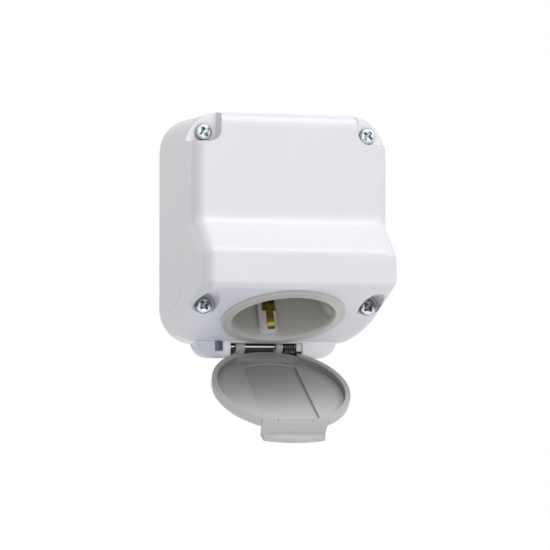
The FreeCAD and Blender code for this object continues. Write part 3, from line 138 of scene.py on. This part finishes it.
class Signal:
    """A node socket that takes sums, products and powers like a number."""

    def __init__(self, graph, socket):
        self.graph, self.socket = graph, socket

    def _with(self, operation, other, swapped=False):
        pair = (other, self) if swapped else (self, other)
        return self.graph.add("ShaderNodeMath", {"operation": operation}, dict(enumerate(pair)))

    def __add__(self, other):
        return self._with("ADD", other)

    def __radd__(self, other):
        return self._with("ADD", other, swapped=True)

    def __sub__(self, other):
        return self._with("SUBTRACT", other)

    def __rsub__(self, other):
        return self._with("SUBTRACT", other, swapped=True)

    def __mul__(self, other):
        return self._with("MULTIPLY", other)

    def __rmul__(self, other):
        return self._with("MULTIPLY", other, swapped=True)

    def __pow__(self, other):
        return self._with("POWER", other)

    def __abs__(self):
        return self._with("ABSOLUTE", 0)

    def from_to(self, start, end):
        """0 before start and 1 after end, with a smooth way between."""
        sockets = {"Value": self, "From Min": start, "From Max": end}
        return self.graph.add("ShaderNodeMapRange", {"interpolation_type": "SMOOTHSTEP"}, sockets)

    def past(self, edge, blur):
        """0 up to an edge, and 1 from the blur's width beyond it."""
        return (self - edge).from_to(0, blur)

    def short_of(self, edge, blur):
        """1 up to the blur's width before an edge, and 0 beyond the edge."""
        return (edge - self).from_to(0, blur)

    def within(self, low, high, blur):
        """1 between two edges and 0 outside them, with a blur inside each edge."""
        return self.past(low, blur) * self.short_of(high, blur)

    def ranging(self, low, high):
        """The low value where the signal is 0, and the high one where it is 1."""
        return self * (high - low) + low


def distance(across, along):
    """How far a place lies from where both signals are 0."""
    return (across ** 2 + along ** 2) ** 0.5


def either(first, second):
    """1 where one mask or the other is 1, and 0 where both are 0."""
    return 1 - (1 - first) * (1 - second)


class Graph:
    """A node tree under construction."""

    def __init__(self, tree):
        self.tree = tree

    def add(self, kind, settings=None, sockets=None, output=0):
        """A node of a kind, with its settings made first and then its sockets filled."""
        node = self.tree.nodes.new(kind)
        for name, value in (settings or {}).items():
            setattr(node, name, value)
        for name, value in (sockets or {}).items():
            if isinstance(value, Signal):
                self.tree.links.new(value.socket, node.inputs[name])
            else:
                node.inputs[name].default_value = value
        return Signal(self, node.outputs[output])


# a Mix node's sockets for colours
MIX_FACTOR, MIX_UNDER, MIX_OVER, MIX_RESULT = 0, 6, 7, 2
EDGE_SAMPLES = 6


def opaque(colour):
    """Red, green and blue with full alpha; a signal stays as it is."""
    return colour if isinstance(colour, Signal) else (*colour, 1)


class Surface(Graph):
    """A material under construction: its Principled shader and the nodes that feed it."""

    def __init__(self, name, **constants):
        self.material = bpy.data.materials.new(name)
        self.material.use_nodes = True
        super().__init__(self.material.node_tree)
        self.shader = self.tree.nodes["Principled BSDF"]
        for socket, value in constants.items():
            self.shader.inputs[socket].default_value = value
        self.place = self.add("ShaderNodeTexCoord", output="Object")

    def feed(self, socket, signal):
        self.tree.links.new(signal.socket, self.shader.inputs[socket])

    def millimetres(self):
        """Right, forward and up from the frame's origin, in millimetres."""
        split = self.add("ShaderNodeSeparateXYZ", None, {"Vector": self.place}).socket.node
        right, back, up = (Signal(self, axis) for axis in split.outputs)
        return right * (1 / MM), back * (-1 / MM), up * (1 / MM)

    def noise(self, scale, detail=2, roughness=0.5, place=None):
        """Cloudy variation from 0 to 1; scale is in cells per metre."""
        sockets = {"Vector": place or self.place, "Scale": scale, "Detail": detail, "Roughness": roughness}
        return self.add("ShaderNodeTexNoise", {"noise_dimensions": "3D"}, sockets)

    def stretched(self, x, y, z):
        """Object coordinates scaled along each axis; under 1 draws a pattern out."""
        return self.add("ShaderNodeMapping", None, {"Vector": self.place, "Scale": (x, y, z)})

    def mix(self, under, over, mask, way="MIX"):
        """One colour laid over another by a blend mode, as far as the mask says."""
        settings = {"data_type": "RGBA", "blend_type": way}
        sockets = {MIX_FACTOR: mask, MIX_UNDER: opaque(under), MIX_OVER: opaque(over)}
        return self.add("ShaderNodeMix", settings, sockets, output=MIX_RESULT)

    def drift(self, colour, spread, mask):
        """A colour that drifts lighter and darker by a share as the mask varies."""
        low = [part * (1 - spread) for part in colour]
        high = [min(1, part * (1 + spread)) for part in colour]
        return self.mix(low, high, mask)

    def shaded(self, colour, shades):
        """A colour multiplied by the tone of each shade as far as the shade's mask says."""
        for mask, tone in shades:
            colour = self.mix(colour, tone, mask(self), way="MULTIPLY")
        return colour

    def rough(self, middle, *drifts):
        """Roughness round a middle value; each drift is a signal from 0 to 1 and its spread."""
        total = middle - sum(spread for signal, spread in drifts) / 2
        for signal, spread in drifts:
            total = total + signal * spread
        self.feed("Roughness", total)

    def bump(self, height, depth, strength, edge_radius=0):
        """Fine relief over softened edges; depth is the relief of a change from 0 to 1."""
        sockets = {"Height": height, "Distance": depth, "Strength": strength}
        if edge_radius:
            bevel = {"Radius": edge_radius}
            sockets["Normal"] = self.add("ShaderNodeBevel", {"samples": EDGE_SAMPLES}, bevel)
        self.feed("Normal", self.add("ShaderNodeBump", None, sockets))


def off_the_wall(forward):
    """Leaves the flat back, which stands on the wall, as it is."""
    return forward.past(WALL_GAP, blur=0.3)


def hinge_slot(surface):
    """The unlit slot behind the lid's pin and spring, but for the front of its lug."""
    right, forward, up = surface.millimetres()
    across = abs(right).short_of(SLOT_HALF, blur=0.1)
    behind = forward.short_of(SLOT_FRONT, blur=0.9) * off_the_wall(forward)
    level = up.within(SLOT_FOOT, SLOT_TOP, blur=0.4)
    not_lug = either(right.short_of(LUG_LEFT, blur=0.1), forward.short_of(LUG_BACK, blur=0.4))
    return across * behind * level * not_lug


def chin(surface):
    """The chin below the box, with painted light that makes it lighter than the rest of the box."""
    right, forward, up = surface.millimetres()
    return up.short_of(CHIN_TOP, blur=2) * off_the_wall(forward)


def chin_left_shade(surface):
    """The left part of the chin, with painted cool shade that makes it darker."""
    right, forward, up = surface.millimetres()
    below = up.short_of(CHIN_TOP, blur=2) * forward.short_of(CHIN_FRONT, blur=0.3)
    left = right.short_of(CHIN_SHADE_RIGHT, blur=9) * right.past(CHIN_SHADE_LEFT, blur=1.5)
    return below * off_the_wall(forward) * left


def window_inside(surface):
    """The window at the pin's left end, where the white falls into cool shade."""
    right, forward, up = surface.millimetres()
    across = right.within(WINDOW_LEFT, WINDOW_RIGHT, blur=0.1)
    inside = forward.short_of(WINDOW_FRONT, blur=0.3) * forward.past(WALL_GAP, blur=0.1)
    return across * inside * up.short_of(WINDOW_TOP, blur=0.1)


def pocket_floor_light(surface):
    """The floors of the corner pockets, with painted light that makes them read lighter."""
    right, forward, up = surface.millimetres()
    level = forward.within(POCKET_BACK, POCKET_FRONT, blur=0.2)
    corner = abs(right).past(POCKET_SIDE, blur=0.1) * up.past(POCKET_FOOT, blur=0.1)
    from_round = distance(abs(right) - ROUND_ACROSS, up - ROUND_UP)
    return level * corner * from_round.short_of(ROUND_RADIUS, blur=0.15)


def screw_wells(surface):
    """The lower screws' wells, which fall into cool shade, the left one less."""
    right, forward, up = surface.millimetres()
    deep = forward.past(WELL_BACK, blur=0.3)
    out = distance(abs(right) - SCREW_ACROSS, up - (SCREW_MIDDLE - SCREW_RISE))
    well = out.short_of(WELL_RADIUS, blur=0.2)
    return deep * well * right.from_to(-WELL_LIGHT, WELL_LIGHT).ranging(0.25, 0.60)


def from_left_side(surface):
    """Millimetres inwards from the drafted left side, with the place's forward and up."""
    right, forward, up = surface.millimetres()
    return right - forward * SIDE_SLOPE + SIDE_ACROSS, forward, up


def left_side(surface):
    """The left side, which catches more light towards its top."""
    inwards, forward, up = from_left_side(surface)
    light = up.past(SIDE_DARK_UP, blur=SIDE_LIGHT_RISE).ranging(0.3, 1)
    return inwards.short_of(SIDE_SKIN, blur=1.3) * light


def left_round_shade(surface):
    """The round between the left side and the face, with painted shade that makes it darker than either.
    """
    inwards, forward, up = from_left_side(surface)
    edge = inwards.past(EDGE_START, blur=1.6) * inwards.short_of(EDGE_END, blur=2.8)
    return edge * forward.past(EDGE_BACK, blur=2)


def socket_places(surface):
    """Across, along the leaning face and outwards from the middle of the mouth."""
    right, forward, up = surface.millimetres()
    out, rise = forward - MOUTH_FORWARD, up - MOUTH_UP
    along = out * math.cos(FACE_LEAN) + rise * math.sin(FACE_LEAN)
    depth = out * math.sin(FACE_LEAN) - rise * math.cos(FACE_LEAN)
    return right, along, depth


def under_left_shade(surface):
    """The leaning underside, with painted cool shade left of the socket."""
    across, along, depth = socket_places(surface)
    return depth.past(UNDER_BACK, blur=0.5) * across.short_of(UNDER_COOL, blur=26)


def collar_rim_shade(surface):
    """The collar's outer edge, with painted shade that makes it darker than the ring next to the mouth."""
    across, along, depth = socket_places(surface)
    out = distance(across, along)
    return out.past(RIM_RADIUS, blur=1.2) * depth.past(RIM_BACK, blur=0.5)


def collar_right(surface):
    """The collar's face, which catches more light towards its right."""
    across, along, depth = socket_places(surface)
    face = depth.past(RING_BACK, blur=0.4) * distance(across, along).past(RING_RADIUS, blur=0.4)
    return face * across.past(RING_BRIGHT, blur=20)


def cup_inside_shade(surface):
    """The cup's inside, with painted shade that darkens it away from the light; what stands proud of its
    wall is left.
    """
    across, along, depth = socket_places(surface)
    out = distance(across, along)
    proud = out.short_of(PROUD_RADIUS, blur=0.3) * depth.past(PROUD_BACK, blur=0.3)
    inside = depth.short_of(CUP_START, blur=4.5) * (1 - proud)
    return inside * across.short_of(CUP_BRIGHT, blur=26).ranging(0.4, 1)


def clip_shade(surface):
    """The earth clips, with painted shade that darkens them from their bright tips down into the cup."""
    across, along, depth = socket_places(surface)
    return depth.short_of(CLIP_BRIGHT, blur=2.5)


def corner_under_block(right, along, depth, from_middle):
    """The corner between the hinge block and the dish, where the lid's painted shade falls."""
    corner = depth.past(CORNER_TOP, blur=0.2) * from_middle.past(CORNER_RADIUS, blur=0.3)
    corner = corner * along.past(CORNER_START, blur=0.1) * along.short_of(CORNER_END, blur=0.5)
    return corner * abs(right).short_of(CORNER_HALF, blur=0.3)


def band_step(right, along, depth):
    """The two steps between the dish's raised middle band and its floor, where the lid's painted shade
    falls.
    """
    from_step = abs(abs(right) - (along * STEP_SPREAD + STEP_HALF))
    step = from_step.short_of(STEP_WIDTH, blur=0.12) * depth.within(STEP_TOP, STEP_FOOT, blur=0.1)
    return step * along.short_of(STEP_END, blur=0.2)


def lid_shade(surface):
    """The lid's inner face, with painted shade that darkens it towards the hinge and in its corners."""
    right, forward, up = surface.millimetres()
    out, rise = forward - HINGE_FORWARD, up - HINGE_UP
    along = out * math.cos(LID_HANG) - rise * math.sin(LID_HANG)
    depth = out * -math.sin(LID_HANG) - rise * math.cos(LID_HANG)
    from_middle = distance(right, along - LID_REACH)
    floor = from_middle.short_of(DISH_RADIUS, blur=0.2) * depth.past(DISH_TOP, blur=0.5)
    floor = floor * depth.short_of(DISH_FLOOR, blur=0.1) * along.short_of(DISH_END, blur=0.1)
    to_hinge = along.short_of(HINGE_SHADE_END, blur=40) * floor.ranging(0.45, 0.78)
    wall = from_middle.past(WALL_INNER, blur=0.15) * from_middle.short_of(WALL_OUTER, blur=0.1)
    wall = wall * depth.past(WALL_TOP, blur=0.5) * along.short_of(WALL_END, blur=6)
    corner = corner_under_block(right, along, depth, from_middle)
    corner_end = corner * right.past(CORNER_RIGHT, blur=0.3)
    corners = wall * WALL_DARK + corner * CORNER_DARK + corner_end * CORNER_END_DARK
    corners = corners + band_step(right, along, depth) * STEP_DARK
    return either(to_hinge, corners + (1 - floor) * (1 - wall) * OUTSIDE_DARK)


PLASTIC_IOR, RUBBER_IOR = 1.5, 1.52
MOULD_RELIEF, METAL_RELIEF = 0.5, 0.4
GRAIN = 0.02 * MM
TURNING = 0.008 * MM
SCRATCH = 0.006 * MM


def moulded(name, colour, roughness, edge_radius, shades=()):
    """Injection-moulded plastic: a faint flow drift in colour, fine spark-eroded grain in relief."""
    surface = Surface(name, IOR=PLASTIC_IOR)
    flow = surface.noise(scale=38, detail=3)
    fine = surface.noise(scale=2600, detail=3, roughness=0.6)
    plain = surface.drift(colour, spread=0.02, mask=flow)
    surface.feed("Base Color", surface.shaded(plain, shades))
    surface.rough(roughness, (fine, 0.08), (flow, 0.05))
    surface.bump(fine, GRAIN, MOULD_RELIEF, edge_radius)
    return surface.material


def zinc_surface(name, roughness, clouding):
    """Zinc-plated steel before its colour, with fine turning marks, and the signal of its clouds."""
    surface = Surface(name, Metallic=1.0)
    cloud = surface.noise(scale=900, detail=4)
    marks = surface.noise(scale=5200)
    surface.rough(roughness, (cloud, clouding), (marks, 0.06))
    surface.bump(marks, TURNING, METAL_RELIEF)
    return surface, cloud


def plated(name, colour, roughness):
    """Zinc-plated steel with a light cloudiness."""
    surface, cloud = zinc_surface(name, roughness, clouding=0.12)
    surface.feed("Base Color", surface.drift(colour, spread=0.12, mask=cloud))
    return surface.material


# painted light and shade on the screw heads: the dark rim and cross, and the lit lower crowns
CROWN = (0.64, 0.68, 0.72)
LOWER_CROWN_LIGHT = (0.80, 0.84, 0.86)
HEAD_RIM_SHADE = (0.20, 0.23, 0.25)
UNLIT_HEAD = (0.15, 0.19, 0.20)
CROSS_WALL_SHADE = (0.035, 0.055, 0.06)
CROSS_BOTTOM_SHADE = (0.34, 0.40, 0.43)
LOWER_BRIGHT, LOWER_UNLIT, LOWER_CROSS_DARK = 0.8, 0.75, 0.75


def screw_head(name, roughness):
    """The cover screws, with painted light and shade: bright crowns, a shaded cross and rim, and the lower
    two half unlit.
    """
    surface, cloud = zinc_surface(name, roughness, clouding=0.14)
    right, forward, up = surface.millimetres()
    out = distance(abs(right) - SCREW_ACROSS, abs(up - SCREW_MIDDLE) - SCREW_RISE)
    lower = up.short_of(SCREW_MIDDLE, blur=1)
    cross = forward.short_of(CROSS_TOP, blur=0.25) * out.short_of(CROSS_REACH, blur=0.15)
    bottom = forward.short_of(CROSS_FLOOR, blur=0.25) * (1 - lower * LOWER_CROSS_DARK)
    rim = out.past(HEAD_EDGE, blur=0.45)
    unlit = lower * up.past(UNLIT_FOOT, blur=1.1)
    head = surface.mix(surface.drift(CROWN, spread=0.18, mask=cloud), HEAD_RIM_SHADE, rim)
    head = surface.mix(head, LOWER_CROWN_LIGHT, lower * (1 - rim) * LOWER_BRIGHT)
    head = surface.mix(head, UNLIT_HEAD, unlit * LOWER_UNLIT)
    recess = surface.mix(CROSS_WALL_SHADE, CROSS_BOTTOM_SHADE, bottom)
    surface.feed("Base Color", surface.mix(head, recess, cross))
    return surface.material


# painted shade on the pin's underside
PIN_UNDERSIDE_SHADE = (0.02, 0.02, 0.021)


def drawn_wire(name, colour, roughness, underside_shade=0.0):
    """Drawn steel: scratches that run along X, and painted shade on its underside."""
    surface = Surface(name, Metallic=1.0)
    lines = surface.noise(scale=3000, place=surface.stretched(0.1, 1, 1))
    right, forward, up = surface.millimetres()
    under = up.short_of(PIN_UNDER, blur=0.35) * underside_shade
    plain = surface.drift(colour, spread=0.15, mask=lines)
    surface.feed("Base Color", surface.mix(plain, PIN_UNDERSIDE_SHADE, under))
    surface.rough(roughness, (lines, 0.15))
    surface.bump(lines, SCRATCH, METAL_RELIEF)
    return surface.material


FRESH_BRASS, DULL_BRASS = (0.70, 0.54, 0.15), (0.30, 0.22, 0.045)


def stamped_brass(name, shades=()):
    """Rolled brass sheet with a little tarnish."""
    surface = Surface(name, Metallic=1.0)
    tarnish = surface.noise(scale=420, detail=4, roughness=0.65)
    rolled = surface.noise(scale=4200, place=surface.stretched(1, 0.15, 0.15))
    sheet = surface.mix(FRESH_BRASS, DULL_BRASS, tarnish ** 2)
    surface.feed("Base Color", surface.shaded(sheet, shades))
    surface.rough(0.3, (tarnish, 0.2), (rolled, 0.08))
    surface.bump(rolled, TURNING, METAL_RELIEF)
    return surface.material


def soft_rubber(name, colour):
    """Moulded rubber with a dusty bloom."""
    surface = Surface(name, IOR=RUBBER_IOR)
    bloom = surface.noise(scale=260, detail=4, roughness=0.6)
    pores = surface.noise(scale=3400)
    surface.feed("Base Color", surface.drift(colour, spread=0.18, mask=bloom))
    surface.rough(0.72, (bloom, 0.2))
    surface.bump(pores, GRAIN, MOULD_RELIEF)
    return surface.material


# each shade is painted light or shade: a mask and the tone that multiplies the colour there
LEFT_LIGHT = (left_side, (1.13, 1.13, 1.12))
COVER_SHADES = (
    (pocket_floor_light, (1.17, 1.17, 1.15)),
    (screw_wells, (0.66, 0.675, 0.72)),
    LEFT_LIGHT,
    (left_round_shade, (0.86, 0.86, 0.87)),
    (under_left_shade, (0.95, 0.975, 1.03)),
)
BOX_SHADES = (
    (hinge_slot, (0.035, 0.035, 0.037)),
    (window_inside, (0.56, 0.64, 0.74)),
    (chin_left_shade, (0.68, 0.72, 0.79)),
    (chin, (1.15, 1.17, 1.14)),
    LEFT_LIGHT,
)
CUP_SHADES = (
    (collar_rim_shade, (0.90, 0.915, 0.935)),
    (collar_right, (1.2, 1.2, 1.18)),
    (cup_inside_shade, (0.74, 0.74, 0.705)),
)
LID_SHADES = ((lid_shade, (0.36, 0.36, 0.36)),)
CLIP_SHADES = ((clip_shade, (0.42, 0.37, 0.27)),)

SOFT_EDGE = 0.8 * MM
FINE_EDGE = 0.3 * MM
WHITE = (0.80, 0.79, 0.835)
WHITE_ROUGHNESS = 0.34
COVER_WHITE = moulded("white_moulding", WHITE, WHITE_ROUGHNESS, SOFT_EDGE, COVER_SHADES)
BOX_WHITE = moulded("back_moulding", WHITE, WHITE_ROUGHNESS, SOFT_EDGE, BOX_SHADES)
COLLAR_GREY = moulded("grey_moulding", (0.545, 0.543, 0.53), 0.42, FINE_EDGE, CUP_SHADES)
LID_GREY = moulded("lid_moulding", (0.71, 0.70, 0.685), 0.40, FINE_EDGE, LID_SHADES)
CARRIER_GREY = moulded("carrier_moulding", (0.62, 0.62, 0.60), 0.5, FINE_EDGE)
ZINC = plated("zinc_plate", (0.66, 0.70, 0.74), 0.24)
SCREW_ZINC = screw_head("screw_heads", 0.24)
STEEL = drawn_wire("bright_pin", (0.72, 0.73, 0.75), 0.225, underside_shade=0.95)
SPRING_STEEL = drawn_wire("spring_wire", (0.17, 0.155, 0.135), 0.305)
BRASS = stamped_brass("stamped_brass")
CLIP_BRASS = stamped_brass("clip_brass", CLIP_SHADES)
BLACK_RUBBER = soft_rubber("black_rubber", (0.03, 0.03, 0.032))
GREY_RUBBER = soft_rubber("grey_rubber", (0.24, 0.24, 0.25))

# pieces seen from outside: finish, slot and the sharpest angle that is smoothed, in degrees
SMOOTHED = {
    "back_box": (BOX_WHITE, "white_plastic", 24),
    "front_cover": (COVER_WHITE, "white_plastic", 24),
    "socket_insert": (COLLAR_GREY, "grey_plastic", 26),
    "lid": (LID_GREY, "grey_lid", 24),
    "earth_bracket": (CLIP_BRASS, "brass", 20),
    "cover_screws": (SCREW_ZINC, "zinc_steel", 35),
    "hinge_pin": (STEEL, "bright_steel", 50),
    "lid_spring": (SPRING_STEEL, "bright_steel", 60),
}
# the other nodes stay as they are, with a finish
PLAIN = {
    "insert_ring_nut": COLLAR_GREY,
    "contact_carrier": CARRIER_GREY,
    "line_contact": BRASS,
    "neutral_contact": BRASS,
    "line_clamp": BRASS,
    "neutral_clamp": BRASS,
    "earth_clamp": BRASS,
    "terminal_screws": ZINC,
    "carrier_screws": ZINC,
    "cover_gasket": BLACK_RUBBER,
    "screw_seals": BLACK_RUBBER,
    "collar_seal": BLACK_RUBBER,
    "cable_grommet": GREY_RUBBER,
}

MERGE_WITHIN = 0.001 * MM
FLAT_WITHIN = math.radians(0.3)
LARGE_FACES_FIRST = 100


def paint(obj, material):
    """Give an object one finish in place of its own."""
    obj.data.materials.clear()
    obj.data.materials.append(material)


def smoothed_copy(node, crease_degrees):
    """A node's own form with merged corners, smooth rounds and flat faces kept flat."""
    obj = frame["nodes"][node].copy()
    obj.data = obj.data.copy()
    obj.name = obj.data.name = f"{node}_moulding"
    obj.parent = None
    obj.matrix_world = Matrix.Identity(4)
    bpy.context.scene.collection.objects.link(obj)
    bpy.ops.object.select_all(action="DESELECT")
    obj.select_set(True)
    bpy.context.view_layer.objects.active = obj
    bpy.ops.object.mode_set(mode="EDIT")
    bpy.ops.mesh.select_all(action="SELECT")
    bpy.ops.mesh.remove_doubles(threshold=MERGE_WITHIN)
    bpy.ops.mesh.dissolve_limited(angle_limit=FLAT_WITHIN)
    bpy.ops.object.mode_set(mode="OBJECT")
    bpy.ops.object.shade_smooth_by_angle(angle=math.radians(crease_degrees))
    even = obj.modifiers.new("even_normals", "WEIGHTED_NORMAL")
    even.keep_sharp = True
    even.weight = LARGE_FACES_FIRST
    bpy.ops.object.modifier_apply(modifier=even.name)
    return obj


for node, (material, slot, crease_degrees) in SMOOTHED.items():
    piece = smoothed_copy(node, crease_degrees)
    paint(piece, material)
    if node == "lid_spring":
        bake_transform(piece)
    else:
        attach(piece, LID if node == "lid" else HOUSING)
    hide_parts(node)

for node, material in PLAIN.items():
    paint(frame["nodes"][node], material)

# studio
PURE_WHITE = (1, 1, 1, 1)
FLOOR_DROP = 0.03
FLOOR_SIZE = 12.0
PAPER_COLOUR = (0.9, 0.9, 0.9, 1)
PAPER_ROUGHNESS = 0.8
SKY_STRENGTH = 0.35


def glow_to_camera(tree, lit, output, kind):
    """White to the camera and in reflections, and the lit finish for everything else."""
    graph = Graph(tree)
    rays = graph.add("ShaderNodeLightPath").socket.node.outputs
    seen = Signal(graph, rays["Is Camera Ray"])
    for also in ("Is Glossy Ray", "Is Transmission Ray"):
        pair = {0: seen, 1: Signal(graph, rays[also])}
        seen = graph.add("ShaderNodeMath", {"operation": "MAXIMUM"}, pair)
    white = graph.add(kind, None, {"Color": PURE_WHITE, "Strength": 1.0})
    pair = {0: seen, 1: Signal(graph, lit.outputs[0]), 2: white}
    mixed = graph.add("ShaderNodeMixShader", None, pair)
    tree.links.new(mixed.socket, output.inputs["Surface"])


bpy.ops.mesh.primitive_plane_add(size=FLOOR_SIZE, location=(0, 0, CAD_LOW.z - FLOOR_DROP))
floor = bpy.context.object
floor.name = "floor"
paper = bpy.data.materials.new("pale_paper")
paper.use_nodes = True
nodes = paper.node_tree.nodes
sheet = nodes["Principled BSDF"]
sheet.inputs["Base Color"].default_value = PAPER_COLOUR
sheet.inputs["Roughness"].default_value = PAPER_ROUGHNESS
glow_to_camera(paper.node_tree, sheet, nodes["Material Output"], "ShaderNodeEmission")
paint(floor, paper)

world = bpy.data.worlds.new("studio")
bpy.context.scene.world = world
world.use_nodes = True
nodes = world.node_tree.nodes
sky = nodes["Background"]
sky.inputs["Color"].default_value = PURE_WHITE
sky.inputs["Strength"].default_value = SKY_STRENGTH
glow_to_camera(world.node_tree, sky, nodes["World Output"], "ShaderNodeBackground")

# each softbox: place in metres, watts and tint
NEUTRAL = (1, 1, 1)
COOL = (0.86, 0.94, 1)
SOFTBOX_SIZE = 0.6
SOFTBOXES = {
    "above": ((0.1, -0.35, 0.9), 4.2, NEUTRAL),
    "front": ((0, -1.1, 0.15), 1.9, NEUTRAL),
    "below": ((0.1, -0.7, -0.6), 1.9, COOL),
    "high_left": ((-0.6, -0.4, 0.6), 0.6, NEUTRAL),
    "high_right": ((0.7, -0.4, 0.6), 1.8, NEUTRAL),
    "low_right": ((0.7, -0.5, -0.45), 2.4, COOL),
    "low_left": ((-0.7, -0.5, -0.45), 2.8, COOL),
}
MIDDLE = (CAD_LOW + CAD_HIGH) / 2


def aimed(name, data, place, look):
    """A light or camera at a place, which looks along a direction."""
    obj = bpy.data.objects.new(name, data)
    obj.location = place
    obj.rotation_euler = look.to_track_quat("-Z", "Y").to_euler()
    bpy.context.scene.collection.objects.link(obj)
    return obj


for name, (place, watts, tint) in SOFTBOXES.items():
    light = bpy.data.lights.new(name, "AREA")
    light.size = SOFTBOX_SIZE
    light.energy = watts
    light.color = tint
    aimed(name, light, place, MIDDLE - Vector(place))

CAMERA_PLACE = Vector((-0.3450, -1.2255, -0.0860))
CAMERA_LOOK = Vector((0.2753, 0.9599, 0.0541))
LENS_MM = 206.5
SENSOR_MM = 36
NEAREST, FARTHEST = 0.01, 100

camera = bpy.data.cameras.new("photo_angle")
camera.lens = LENS_MM
camera.sensor_width = SENSOR_MM
camera.clip_start = NEAREST
camera.clip_end = FARTHEST
bpy.context.scene.camera = aimed("photo_angle", camera, CAMERA_PLACE, CAMERA_LOOK)
bpy.context.scene.view_settings.view_transform = "Standard"
